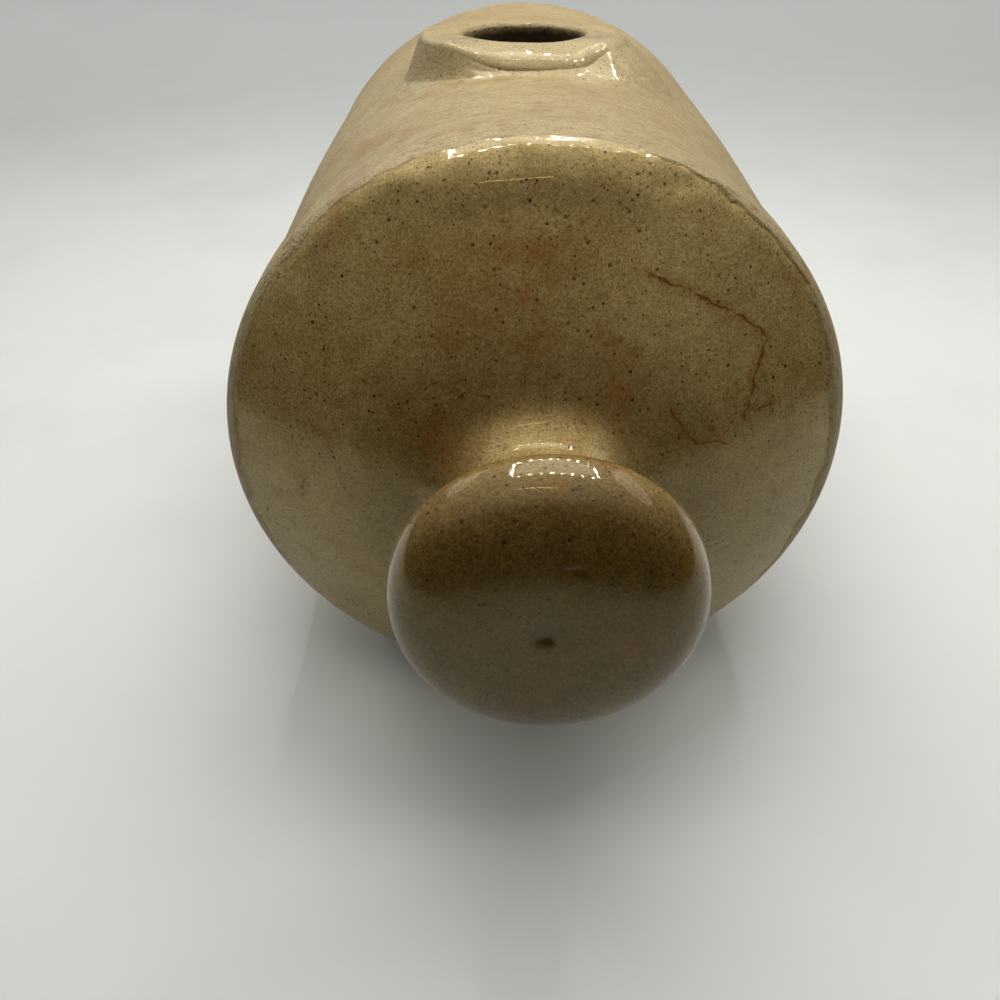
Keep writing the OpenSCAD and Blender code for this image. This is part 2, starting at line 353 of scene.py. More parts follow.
def stopperGlaze(name, look):
    made, shader, place = newMaterial(name)
    drift = cloud(place, 70, 1.0, 4).ease(0.35, 0.65)
    worn = cloud(place, 240, 2.0, 4)
    colour = drift.over(look["deep"], look["clay"])
    dots = specks(place, 2.2, 0.42, 0.6, 4.4)
    colour = (dots * 0.75).over(colour, look["speck"])
    colour = (worn.ease(0.58, 0.8) * 0.4).over(colour, stoneware["barrelClay"])
    colour.into(shader.inputs["Base Color"])
    (look["gloss"] * (0.7 + 0.9 * worn)).into(shader.inputs["Roughness"])
    roughen(shader, cloud(place, 420, 3.0, 3) * 0.03)
    return made


rubberLook = {
    "rubber": paint(38, 36, 33),
    "bloom": paint(74, 70, 64),
}


def oldRubber(name, look):
    made, shader, place = newMaterial(name)
    dust = cloud(place, 180, 1.0, 5)
    (dust.ease(0.45, 0.75) * 0.7).over(look["rubber"], look["bloom"]).into(shader.inputs["Base Color"])
    (0.55 + 0.3 * dust).into(shader.inputs["Roughness"])
    roughen(shader, cloud(place, 900, 2.0, 4) * 0.05)
    return made


mouth = {
    "radius": 17.6,
    "lip": 1.5,  # rounding of the lip
    # sizes of the boss towards the knob, to the right, the back and the left
    "land": (11.4, 12.9, 11.4, 12.9),  # flat top face round the mouth
    "round": (3.2, 5, 5, 2.4),  # rounding of its edge
    "flare": (12, 26, 22, 20),  # reach of the foot, where the clay was wiped down the barrel
    "wallPart": (0.74, 0.4, 0.74, 0.74),  # how much of the height the wall takes, and of the flare
    "wallReach": (0.25, 0.6, 0.6, 0.25),
    "lean": 22,  # of the wall below the edge
    "smear": 4.0,  # how far the lip was smeared down towards the knob
    "smearLeft": (-24, -4),  # where the smear starts and is whole, along X
    "smearRight": (24.5, 15.5),
    "tilt": (-0.024, -0.03),  # the top face falls to the right and to the back
    "saddle": 0.0003,  # and its sides rise, per millimetre
    "sink": 0.45,  # how deep the foot's feather edge dips into the barrel
    "spigotWall": 6.4,
    "ledge": 4.1,
    "thread": 1.8,  # depth of the round screw thread
    "pitch": 6,
    "sides": 288,
}

barrelGlaze = stonewareGlaze("barrelGlaze", stoneware)
shoulderGlaze = stonewareGlaze("shoulderGlaze", stoneware)
brownGlaze = stopperGlaze("stopperGlaze", stopperLook)
rubber = oldRubber("washerRubber", rubberLook)
print("glazes mixed")


# Turning: a profile swept round an axis, as clay on a wheel

def turnedTree():
    tree = bpy.data.node_groups.new("turnedClay", "GeometryNodeTree")
    asks = {"Profile": "Geometry", "Sides": "Int", "Lying": "Bool", "Centre": "Vector", "Pitch": "Float",
            "Floor Softness": "Float", "Wobble": "Float", "Wobble Scale": "Float", "Seed": "Float",
            "Lean": "Float", "Lean From": "Float", "Lean To": "Float", "Glaze": "Material"}
    for name, kind in asks.items():
        tree.interface.new_socket(name, in_out="INPUT", socket_type="NodeSocket" + kind)
    tree.interface.new_socket("Clay", in_out="OUTPUT", socket_type="NodeSocketGeometry")
    given = tree.nodes.new("NodeGroupInput")
    ask = {name: Wire(given.outputs[name]) for name in asks}
    profile = ask["Profile"]

    # a grid with one column for each side and one row for each point of the profile
    rows = profile.node("GeometryNodeAttributeDomainSize", {"component": "MESH"}, {"Geometry": profile},
                        "Point Count")
    grid = profile.node("GeometryNodeMeshGrid", {}, {"Vertices X": ask["Sides"] + 1, "Vertices Y": rows})
    index = profile.node("GeometryNodeInputIndex")
    side = ((index + 0.5) / rows).maths("FLOOR")
    row = index - side * rows

    def fromProfile(field, kind):
        return profile.node("GeometryNodeSampleIndex", {"data_type": kind, "domain": "POINT"},
                            {"Geometry": profile, "Value": field, "Index": row})

    def rowValue(name):
        field = profile.node("GeometryNodeInputNamedAttribute", {"data_type": "FLOAT"}, {"Name": name})
        return fromProfile(field, "FLOAT")

    point = fromProfile(profile.node("GeometryNodeInputPosition"), "FLOAT_VECTOR")
    radius = point.part(0)
    along = point.part(1)
    level = rowValue("level")
    wind = rowValue("wind")

    # round the axis; a threaded row's centre winds round it as well
    turn = side * (2 * math.pi) / ask["Sides"]
    winding = along * (2 * math.pi) / ask["Pitch"]
    across = radius * turn.maths("COSINE") + wind * winding.maths("COSINE")
    rise = radius * turn.maths("SINE") + wind * winding.maths("SINE")
    across = across + ask["Lean"] * along.ease(ask["Lean From"], ask["Lean To"])

    lying = bundle(across, 0 - along, rise).vector("ADD", ask["Centre"])
    standing = bundle(across, rise, along).vector("ADD", ask["Centre"])
    spot = profile.node("GeometryNodeSwitch", {"input_type": "VECTOR"},
                        {"Switch": ask["Lying"], "False": standing, "True": lying})

    # hand-thrown walls wander a little, except on the flat that was paddled level
    drift = profile.node("ShaderNodeTexNoise", {"noise_dimensions": "4D"},
                         {"Vector": spot, "W": ask["Seed"], "Scale": ask["Wobble Scale"], "Detail": 1.5}, 1)
    reach = (spot.part(2) - level).ease(0.0, 8 * mm) * ask["Wobble"]
    spot = spot.vector("ADD", drift.vector("SUBTRACT", (0.5, 0.5, 0.5)).scaled(reach))
    high = spot.part(2).maths("SMOOTH_MAX", level, ask["Floor Softness"])
    spot = bundle(spot.part(0), spot.part(1), high)

    made = grid
    for step, sockets in (
            ("SetPosition", {"Position": spot}),
            ("MergeByDistance", {"Distance": 0.01 * mm}),
            ("RealizeInstances", {}),
            ("SetMaterial", {"Material": ask["Glaze"]})):
        made = made.node("GeometryNode" + step, {}, {"Geometry": made, **sockets})
    made.into(tree.nodes.new("NodeGroupOutput").inputs["Clay"])
    return tree


clayTree = turnedTree()


def newObject(name, data):
    made = bpy.data.objects.new(name, data)
    scene.collection.objects.link(made)
    return made


def settle(piece):
    # turns live modifiers into a plain mesh
    bpy.context.view_layer.update()
    ready = piece.evaluated_get(bpy.context.evaluated_depsgraph_get())
    mesh = bpy.data.meshes.new_from_object(ready)
    piece.modifiers.clear()
    old = piece.data
    piece.data = mesh
    bpy.data.meshes.remove(old)
    mesh.name = piece.name
    return piece


def smoothFaces(piece, sharp=38):
    work = bmesh.new()
    work.from_mesh(piece.data)
    bmesh.ops.remove_doubles(work, verts=work.verts, dist=0.005 * mm)
    bmesh.ops.recalc_face_normals(work, faces=work.faces)
    work.to_mesh(piece.data)
    work.free()
    piece.data.shade_smooth()
    piece.data.set_sharp_from_angle(angle=math.radians(sharp))
    return piece


def writeValues(mesh, title, values):
    # one number for each point of the mesh
    mesh.attributes.new(title, "FLOAT", "POINT").data.foreach_set("value", values)


def turned(name, rows, glaze, sides, centre, lying=True, pitch=1.0, wobble=0.0, lean=(0.0, 0.0, 1.0)):
    # rows hold radius, distance along the axis, lowest level and winding radius
    mesh = bpy.data.meshes.new(name + "Profile")
    mesh.from_pydata([(row[0] * mm, row[1] * mm, 0) for row in rows], [], [])
    for column, title in ((2, "level"), (3, "wind")):
        writeValues(mesh, title, [row[column] * mm for row in rows])
    piece = newObject(name, mesh)
    maker = piece.modifiers.new("turned", "NODES")
    maker.node_group = clayTree
    values = {
        "Sides": sides,
        "Lying": lying,
        "Centre": [value * mm for value in centre],
        "Pitch": pitch * mm,
        "Floor Softness": clay["softFloor"] * mm,
        "Wobble": wobble * mm,
        "Wobble Scale": float(clay["wobbleScale"]),
        "Seed": clay["seed"],
        "Lean": lean[0] * mm,
        "Lean From": lean[1] * mm,
        "Lean To": lean[2] * mm,
        "Glaze": glaze,
    }
    for item in clayTree.interface.items_tree:
        if item.in_out == "INPUT" and item.name in values:
            maker[item.identifier] = values[item.name]
    return smoothFaces(settle(piece))


def lengthsAlong(points):
    # how far along the line each point lies
    return np.concatenate([[0], np.cumsum(np.linalg.norm(np.diff(points, axis=0), axis=1))])


def even(points, step):
    # the same line with its points an even step apart
    points = np.array(points, float)
    walked = lengthsAlong(points)
    count = max(2, int(math.ceil(walked[-1] / step)) + 1)
    at = np.linspace(0, walked[-1], count)
    return np.column_stack([np.interp(at, walked, points[:, k]) for k in (0, 1)]).tolist()


def arc(centre, radius, start, end, steps=24):
    angles = np.radians(np.linspace(start, end, steps + 1))
    return [[centre[0] + radius * math.cos(a), centre[1] + radius * math.sin(a)] for a in angles]


def rowsAt(points, level, wind=0.0):
    return [[point[0], point[1], level, wind] for point in points]


axisCentre = (0, rimY, axisZ)
belowAll = -1000  # a level that nothing reaches


# Barrel

barrel = {
    "sides": 288,
    "step": 2.2,  # spacing of the rows along the wall
    "swell": 0.9,  # belly half way along
    "holeGap": 0.2,  # round the boss's spigot
}
barrelFront = ahead(barrelLow[1])
barrelBack = ahead(barrelHigh[1])


def wallRadius(along):
    share = np.clip((along - barrelFront) / (barrelBack - barrelFront), 0, 1)
    return bodyR + barrel["swell"] * np.sin(math.pi * share) ** 2


def makeBarrel():
    along = np.linspace(barrelFront, barrelBack, 120)
    outer = even(np.column_stack([wallRadius(along), along]), barrel["step"])
    inner = even([[boreR, barrelBack], [boreR, barrelFront]], 3 * barrel["step"])
    rows = rowsAt(outer, 0) + rowsAt(inner, clay["wall"]) + rowsAt(outer[:1], 0)
    piece = turned("barrelWall", rows, barrelGlaze, barrel["sides"], axisCentre, wobble=clay["wobble"])
    # the hole for the filler boss
    drill = bpy.data.meshes.new("drill")
    work = bmesh.new()
    radius = (mouth["radius"] + mouth["spigotWall"] + barrel["holeGap"]) * mm
    deep = 4 * clay["wall"] * mm
    bmesh.ops.create_cone(work, cap_ends=True, segments=128, radius1=radius, radius2=radius, depth=deep)
    bmesh.ops.translate(work, verts=work.verts, vec=(0, mouthY * mm, (barrelTop - clay["wall"]) * mm))
    work.to_mesh(drill)
    work.free()
    tool = newObject("drill", drill)
    cut = piece.modifiers.new("hole", "BOOLEAN")
    cut.object = tool
    cut.operation = "DIFFERENCE"
    cut.solver = "EXACT"
    settle(piece)
    bpy.data.objects.remove(tool)
    return smoothFaces(piece)


barrelWall = makeBarrel()
print("barrel thrown", len(barrelWall.data.polygons))


# Rear end

rear = {
    "sides": 256,
    "step": 1.6,
    "round": 5,
    "ringIn": 65.3,  # locating ring inside the barrel
    "ringOut": 71.3,
    "ringFloor": 8.2,
    "dish": 0.8,  # the cut base is a little hollow, so that it stands without rocking
}


def makeRear():
    joint = ahead(barrelHigh[1])
    face = ahead(rearHigh[1]) + clay["inset"]
    ringEnd = ahead(rearLow[1])
    edge = arc((bodyR - rear["round"], face + rear["round"]), rear["round"], -90, 0)[::-1]
    base = even([[bodyR - rear["round"], face], [0, face]], rear["step"])
    reach = 0.8 * bodyR
    base = [[r, h + rear["dish"] * (math.cos(math.pi * min(r / reach, 1)) + 1) / 2] for r, h in base]
    outer = even([[bodyR, joint]] + edge, rear["step"]) + base[1:]
    inner = even([[0, joint], [rear["ringIn"], joint]], 6)
    ring = [[rear["ringIn"], ringEnd], [rear["ringOut"], ringEnd], [rear["ringOut"], joint]]
    rows = rowsAt(inner, belowAll) + rowsAt(ring, rear["ringFloor"]) + rowsAt(outer, 0)
    return turned("rearEnd", rows, barrelGlaze, rear["sides"], axisCentre, wobble=clay["wobble"])


rearEnd = makeRear()
print("rear end thrown", len(rearEnd.data.polygons))


# Shoulder and knob

shoulder = {
    "sides": 336,
    "step": 0.95,
    "round": 9,  # rounding of the rim
    "rise": 29,  # from the rim plane to the neck
    "bulge": 2.8,
    "thick": 9,
    "neckR": 20,
    "slip": 3,  # thickness of the slip wiped round the neck
    "fillet": 13,
    "socketR": 12,
    "ringLen": 5,
    "lean": 1.2,  # the neck leans a little to +X, from this share of the rise on
    "leanFrom": 0.7,
}
knob = {
    "sides": 240,
    "step": 0.75,
    "mid": 56,  # widest circle ahead of the rim plane
    "back": 12,
    "square": 3.0,  # of its face: 2 is an ellipse, more is boxier
    "squareBack": 2.0,
    "taper": 0.045,  # how much narrower the face gets, apart from its rounding
    "spigotGap": 0.2,
    "blendFrom": 4.6,  # the slip wiped round the joint, below and beyond it
    "blendOutR": 29,
}
knobFront = ahead(knobLow[1]) - knob["mid"]
neckEnd = ahead(shoulderLow[1])
neckLean = (shoulder["lean"], shoulder["leanFrom"] * shoulder["rise"], knob["mid"])


def shoulderShare(r):
    return (rimR - r) / (rimR - shoulder["neckR"])


def shoulderAt(r):
    share = shoulderShare(r)
    return shoulder["rise"] * share + 4 * shoulder["bulge"] * share * (1 - share)


def shoulderSlope(r):
    steep = shoulder["rise"] + 4 * shoulder["bulge"] * (1 - 2 * shoulderShare(r))
    return math.degrees(math.atan(steep / (rimR - shoulder["neckR"])))


def knobOutline(angle, depth, square):
    a = math.radians(angle)
    power = 2 / square
    share = math.sin(a) ** power
    narrow = 1 - knob["taper"] * share if depth > 0 else 1
    return [knobR * math.cos(a) ** power * narrow, knob["mid"] + depth * share]


def neckBlend():
    # a curve from the neck out to the knob's back, and where it crosses the joint
    back = [knobOutline(angle, -knob["back"], knob["squareBack"]) for angle in np.linspace(0, 80, 400)]
    last = min(back, key=lambda point: abs(point[0] - knob["blendOutR"]))
    before = back[back.index(last) - 1]
    steep = (last[1] - before[1]) / (last[0] - before[0])
    neck = shoulder["neckR"] + shoulder["slip"]
    corner = [neck, last[1] - steep * (last[0] - neck)]
    start = [neck, neckEnd - knob["blendFrom"]]
    curve = []
    for t in np.linspace(0, 1, 60):
        weights = ((1 - t) ** 2, 2 * t * (1 - t), t ** 2)
        curve.append([sum(w * p[k] for w, p in zip(weights, (start, corner, last))) for k in (0, 1)])
    onNeck = [point for point in curve if point[1] < neckEnd]
    onKnob = [point for point in curve if point[1] > neckEnd]
    a, b = onNeck[-1], onKnob[0]
    t = (neckEnd - a[1]) / (b[1] - a[1])
    joint = [a[0] + t * (b[0] - a[0]), neckEnd]
    return onNeck + [joint], [joint] + onKnob, back[:back.index(last)]


neckSide, knobSide, knobBack = neckBlend()


def makeShoulder():
    proud = rimR - bodyR
    band = clay["rimLen"]
    swell = []
    for t in np.linspace(0, 1, 20):
        swell.append([bodyR + proud * (1 - math.cos(math.pi * t)) / 2, band * (t / 2 - 1)])
    turnBy = 90 - shoulderSlope(rimR)
    start = shoulder["round"] * math.tan(math.radians(turnBy / 2))
    rim = arc((rimR - shoulder["round"], -start), shoulder["round"], 0, turnBy)
    neck = shoulder["neckR"] + shoulder["slip"]
    fillet = shoulder["fillet"]
    slope = shoulderSlope(neck + 0.7 * fillet)
    footR = neck + fillet * (1 - math.sin(math.radians(slope)))
    top = shoulderAt(footR) + fillet * math.cos(math.radians(slope))
    cove = arc((neck + fillet, top), fillet, 270 - slope, 180)
    dome = [[r, shoulderAt(r)] for r in np.linspace(rim[-1][0], footR, 60)[1:-1]]
    outer = even(swell + rim + dome + cove + neckSide, shoulder["step"])
    socket = shoulder["socketR"]
    inside = [[socket, neckEnd], [socket, shoulderAt(socket) - shoulder["thick"]]]
    inside += even([[r, shoulderAt(r) - shoulder["thick"]] for r in np.linspace(socket, boreR, 40)], 3)[1:]
    ringTop = -band + shoulder["ringLen"]
    ringEnd = -band - shoulder["ringLen"]
    inside.append([boreR, ringTop])
    ringIn, ringOut = rear["ringIn"], rear["ringOut"]
    ring = [[ringIn, ringTop], [ringIn, ringEnd], [ringOut, ringEnd], [ringOut, -band]]
    rows = rowsAt(outer, 0) + rowsAt(inside, clay["wall"]) + rowsAt(ring, rear["ringFloor"])
    rows += rowsAt(outer[:1], 0)
    return turned("shoulderDome", rows, shoulderGlaze, shoulder["sides"], axisCentre,
                  wobble=clay["wobble"], lean=neckLean)


def makeKnob():
    face = [knobOutline(angle, knobFront, knob["square"]) for angle in np.linspace(90, 0, 400)]
    face[0][0] = 0.0
    outer = even(face + knobBack[1:] + knobSide[::-1], knob["step"])
    pin = shoulder["socketR"] - knob["spigotGap"]
    pinEnd = shoulderAt(shoulder["socketR"]) - shoulder["thick"]
    inside = [[pin, neckEnd], [pin, pinEnd], [0, pinEnd]]
    rows = rowsAt(outer + inside, belowAll)
    return turned("carryKnob", rows, shoulderGlaze, knob["sides"], axisCentre,
                  wobble=clay["wobble"], lean=neckLean)


def pointsOf(mesh):
    # each point's place and normal
    spots = np.empty(len(mesh.vertices) * 3)
    ways = np.empty(len(mesh.vertices) * 3)
    mesh.vertices.foreach_get("co", spots)
    mesh.vertex_normals.foreach_get("vector", ways)
    return spots.reshape(-1, 3), ways.reshape(-1, 3)


def press(piece, marks):
    # pushes the clay along its own normal: place, reach each way, and depth, out is positive
    mesh = piece.data
    spots, ways = pointsOf(mesh)
    moved = spots.copy()
    for where, reach, depth in marks:
        off = (spots / mm - np.array(where)) / np.array(reach)
        moved += ways * (depth * mm * np.exp(-np.sum(off ** 2, axis=1)))[:, None]
    mesh.vertices.foreach_set("co", moved.ravel())
    mesh.update()


def wander(points, by, seed):
    # a hand-drawn line through the points
    rng = np.random.default_rng(seed)
    points = np.array(points, float)
    walked = lengthsAlong(points)
    at = np.linspace(0, walked[-1], int(walked[-1] / 1.6) + 2)
    line = np.column_stack([np.interp(at, walked, points[:, k]) for k in range(3)])
    return line + rng.normal(0, by, line.shape) * (1, 0, 1)


def drawVein(piece, lines):
    # writes how near each point is to a stained crack, 1 on it and 0 a reach away or more,
    # and how far it lies to one side of it, in millimetres
    mesh = piece.data
    spots, ways = pointsOf(mesh)
    spots = spots / mm
    near = np.zeros(len(spots))
    aside = np.full(len(spots), 9.0)  # far from any
    for seed, (reach, points) in enumerate(lines):
        points = wander(points, 0.35, seed)
        for a, b in zip(points[:-1], points[1:]):
            way = b - a
            t = np.clip((spots - a) @ way / (way @ way), 0, 1)
            off = spots - a - t[:, None] * way
            far = np.linalg.norm(off, axis=1)
            near = np.maximum(near, 1 - np.clip(far / reach, 0, 1))
            side = np.sign(np.sum(np.cross(way, off) * ways, axis=1))
            aside = np.where(far < np.abs(aside), far * side, aside)
    writeValues(mesh, "vein", near)
    writeValues(mesh, "veinSide", aside)


# Marks left by hand and by age, at points on the frame's faces
rimMarks = [
    ((-29, -61, 147), (7, 5, 2.2), 0.55),  # a ridge of slip on the rim
    ((33, -61.5, 145.5), (8, 3, 3), -0.8),  # a dent under the burr on the rim
    ((-58, -63, 118), (10, 8, 12), 0.35),
    ((20, -75, 120), (22, 10, 14), -0.3),
    ((-30, -75, 105), (18, 10, 20), 0.3),
]
# a burr of glaze along the rim's right
burr = {
    "start": (20, -58.8, 151),
    "end": (47, -56.4, 141.5),
    "count": 16,
    "reach": (1.6, 1.6, 1.3),
    "tall": 0.55,
    "sway": 0.5,
}
for k in range(burr["count"]):
    share = k / (burr["count"] - 1)
    sway = burr["sway"] * math.sin(7 * share)
    place = [a + share * (b - a) + sway for a, b in zip(burr["start"], burr["end"])]
    rimMarks.append((place, burr["reach"], burr["tall"] * (0.6 + 0.4 * math.cos(23 * share))))
# the glaze lies in lumps along the top of the rim
lumps = {
    "count": 44,
    "halfWidth": 46,
    "back": -57,
    "front": -65,
    "under": 2,  # below the rim's widest circle
    "reach": (3.3, 2.2, 5),
    "tall": 0.26,
    "seed": 8,
}
lumpy = np.random.default_rng(lumps["seed"])
for k in range(lumps["count"]):
    x = lumpy.uniform(-lumps["halfWidth"], lumps["halfWidth"])
    y = lumpy.uniform(lumps["front"], lumps["back"])
    z = axisZ + math.sqrt((rimR - lumps["under"]) ** 2 - x ** 2)
    rimMarks.append(((x, y, z), lumps["reach"], lumps["tall"] * lumpy.uniform(-1, 1)))
# and hangs over it: fuller in front and thinner behind, each as y, radius, reach and depth
hang = {
    "across": (-21, -7, 7, 21),
    "front": (-64, 74.9, (11, 4.5, 7), 0.9),
    "back": (-56, 79.9, (11, 4, 20), -0.36),
}
for x in hang["across"]:
    for y, radius, reach, depth in (hang["front"], hang["back"]):
        rimMarks.append(((x, y, axisZ + math.sqrt(radius ** 2 - x ** 2)), reach, depth))
knobMarks = [
    ((0, -131, 77.3), (2.8, 3, 2.4), -0.8),  # a thumbnail dimple
    ((5.6, -130, 93.6), (2.6, 3, 0.6), -0.25),  # a nick
    ((-12, -128, 98), (9, 6, 6), 0.25),
]
# stained cracks: how far the stain reaches, and points that the crack passes
knobVeins = [
    (1.6, [(2.8, -130, 94.4), (8.5, -130, 92.8)]),
    (3.4, [(-1.7, -131, 78.4), (1.7, -131, 78.2), (0.2, -131, 75.4)]),
]
shoulderVeins = [
    (3.0, [(25, -72, 129), (32, -71.5, 126), (38, -71, 122.5), (43, -70.5, 119), (50, -69, 115),
           (53, -68.6, 112.7), (53.5, -69.4, 109.5), (52, -71, 106), (51, -72.7, 102), (50.8, -73.5, 98.6),
           (49.5, -75, 93.6)]),
    (2.4, [(30.6, -81, 100), (33.5, -81, 95.5), (37.5, -80.7, 90.4), (43, -78.6, 89.8), (45, -77.7, 88.4)]),
    (2.0, [(57.8, -70.7, 95.5), (53, -73, 94.8)]),
    (2.2, [(-58.4, -72.2, 77), (-59.4, -71, 72)]),
    (2.2, [(-61.5, -68, 51), (-60, -68.5, 48)]),
]

shoulderDome = makeShoulder()
press(shoulderDome, rimMarks)
drawVein(shoulderDome, shoulderVeins)
carryKnob = makeKnob()
press(carryKnob, knobMarks)
drawVein(carryKnob, knobVeins)
print("shoulder and knob thrown", len(shoulderDome.data.polygons), len(carryKnob.data.polygons))


# Filler boss: a collar luted over the hole, its foot wiped out onto the barrel

fold = {
    "across": (-20, -13.5, -2, 8.5, 14.5, 20),  # the crease under the smeared lip, along X
    "drop": (4.0, 5.4, 6.9, 7.4, 7.5, 7.5),  # and how far it lies below the top face
    "left": (-17, -5),  # where it starts and is whole, along X
    "right": (21, 13),
    "below": (-0.2, 1.3),  # and down from the top face
    # how far the clay is pushed out, how far below the crease, and how wide
    "pushes": ((0.35, -1.6, 1.5), (-0.5, 0.2, 0.45), (0.3, 1.3, 0.9)),
}


def ramp(value, low, high):
    # 0 at low and 1 at high
    return np.clip((value - low) / (high - low), 0, 1)


def onBarrel(x, y):
    # height of the barrel's wall under a point beside the mouth
    return axisZ + np.sqrt(wallRadius(ahead(y + mouthY)) ** 2 - x ** 2)


def makeCollar():
    sides = mouth["sides"]
    turn = np.linspace(0, 2 * math.pi, sides, endpoint=False)
    cosines, sines = np.cos(turn), np.sin(turn)
    rings = []

    def ring(radius, height, wind=0.0):
        lead = 2 * math.pi * (height - ledgeZ) / mouth["pitch"]
        across = radius * cosines + wind * np.cos(lead)
        along = radius * sines + wind * np.sin(lead)
        rings.append(np.column_stack([across, along, height + 0 * turn]))

    throatR = mouth["radius"] - mouth["ledge"] - mouth["thread"] / 2
    spigotR = mouth["radius"] + mouth["spigotWall"]
    throatEnd = collarLow[2]
    for z in np.linspace(throatEnd, ledgeZ, 28):
        ring(throatR, z, mouth["thread"] / 2)
    for r in np.linspace(throatR + 1, mouth["radius"], 4):
        ring(r, ledgeZ)
    for z in np.linspace(ledgeZ + 1, collarTop - mouth["lip"] - 1, 16):
        ring(mouth["radius"], z)
    for r, z in arc((mouth["radius"] + mouth["lip"], collarTop - mouth["lip"]), mouth["lip"], 180, 90, 7):
        ring(r, z)

    def allRound(title):
        # a size that is eased round the mouth
        front, right, back, left = mouth[title]
        return (front * np.clip(-sines, 0, 1) ** 2 + right * np.clip(cosines, 0, 1) ** 2
                + back * np.clip(sines, 0, 1) ** 2 + left * np.clip(-cosines, 0, 1) ** 2)

    soft = allRound("round")
    flare = allRound("flare")
    plateauR = mouth["radius"] + allRound("land")
    wallPart = allRound("wallPart")
    wallReach = allRound("wallReach")
    lipEnd = mouth["radius"] + mouth["lip"]
    edgeX = plateauR * cosines
    smear = ramp(edgeX, *mouth["smearLeft"]) * ramp(edgeX, *mouth["smearRight"]) * np.clip(-3 * sines, 0, 1)
    smear = mouth["smear"] * smear ** 2 * (3 - 2 * smear)

    def topAt(radius):
        return collarTop - smear * np.clip((radius - lipEnd) / (plateauR - lipEnd), 0, 1) ** 1.4

    for share in np.linspace(0, 1, 11)[1:-1]:
        radius = lipEnd + share * (plateauR - soft - lipEnd)
        ring(radius, topAt(radius))
    lean = math.radians(mouth["lean"])
    for a in np.linspace(math.pi / 2, lean, 13):
        radius = plateauR - soft * (1 - math.cos(a))
        ring(radius, topAt(radius) - soft * (1 - math.sin(a)))
    # below the edge a steep wall, and a toe that dies away on the barrel
    wallR = plateauR - soft * (1 - math.cos(lean))
    tall = topAt(wallR) - soft * (1 - math.sin(lean)) - onBarrel(wallR * cosines, wallR * sines)
    for share in np.linspace(0, 1, 56)[1:] ** 1.5:
        radius = wallR + flare * share
        wall = np.clip(1 - share / wallReach, 0, 1) ** 1.25
        left = wallPart * wall + (1 - wallPart) * (1 - share) ** 2
        height = onBarrel(radius * cosines, radius * sines) + tall * left - mouth["sink"] * share ** 3
        rings.append(np.column_stack([radius * cosines, radius * sines, height]))
    for z in (onBarrel(spigotR * cosines, spigotR * sines) - 2, throatEnd + 0 * turn):
        rings.append(np.column_stack([spigotR * cosines, spigotR * sines, z]))

    points = np.concatenate(rings)
    moveFold(points)
    points[:, 1] += mouthY
    faces = []
    for k in range(len(rings)):
        low, high = k * sides, (k + 1) % len(rings) * sides
        for j in range(sides):
            right = (j + 1) % sides
            faces.append((low + j, low + right, high + right, high + j))
    mesh = bpy.data.meshes.new("fillerBoss")
    mesh.from_pydata((points * mm).tolist(), [], faces)
    mesh.materials.append(barrelGlaze)
    return smoothFaces(newObject("fillerBoss", mesh), 50)


def moveFold(points):
    # the smeared lip over the crease on the side that faces the knob, and an uneven top
    x, y, z = points.T
    drop = collarTop - z
    outside = np.hypot(x, y) > mouth["radius"] + mouth["lip"] + 1
    front = np.clip(-y / mouth["radius"], 0, 1)
    line = np.interp(x, fold["across"], fold["drop"])
    push = sum(out * np.exp(-((drop - line - below) / wide) ** 2) for out, below, wide in fold["pushes"])
    push *= ramp(x, *fold["left"]) * ramp(x, *fold["right"]) * front * outside * ramp(drop, *fold["below"])
    far = np.hypot(x, y)
    points[:, 0] += push * x / far
    points[:, 1] += push * y / far
    onTop = np.exp(-(drop / 4) ** 2)
    angle = np.arctan2(y, x)
    uneven = 0.12 * np.sin(3 * angle + 1.9) + 0.05 * np.sin(7 * angle)
    uneven += mouth["tilt"][0] * x + mouth["tilt"][1] * y + mouth["saddle"] * x ** 2
    points[:, 2] += onTop * uneven
    points[:, 2] -= onTop * max(0, np.max(points[:, 2]) - collarTop)


fillerBoss = makeCollar()
drawVein(fillerBoss, [(3.2, [(-17, 2, 156), (-13, -1, 155.4), (-7, -2.5, 155.6)])])
print("filler boss luted", len(fillerBoss.data.polygons))


# Stopper and its washer

stopper = {
    "sides": 128,
    "step": 0.5,
    "edge": 1.2,  # rounding of the head, above and below
    "underEdge": 0.6,
    "dome": 0.5,  # crown of the head
    "lead": 1.2,  # chamfer of the thread's end, across and up
    "leadUp": 0.9,
    "headT": 4,
    "threadGap": 0.4,
    "neckR": 10.4,
    "washerGap": 0.3,  # between the neck and the washer
    "washerEdge": 0.45,
    "gripSquare": 4.5,  # squareness of the grip bar
    "gripWaist": 0.2,  # how much the bar is pinched in the middle, and over what share
    "gripPinch": 0.45,
}
mouthCentre = (0, mouthY, ledgeZ)


def makeWasher():
    outR = washerHigh[0]
    inR = stopper["neckR"] + stopper["washerGap"]
    thick = washerHigh[2] - washerLow[2]
    soft = stopper["washerEdge"]
    outline = arc((outR - soft, soft), soft, -90, 0, 5)
    outline += arc((outR - soft, thick - soft), soft, 0, 90, 5)
    outline += arc((inR + soft, thick - soft), soft, 90, 180, 5)
    outline += arc((inR + soft, soft), soft, 180, 270, 5)
    rows = rowsAt(outline + outline[:1], belowAll)
    return turned("sealingWasher", rows, rubber, stopper["sides"], mouthCentre, lying=False)


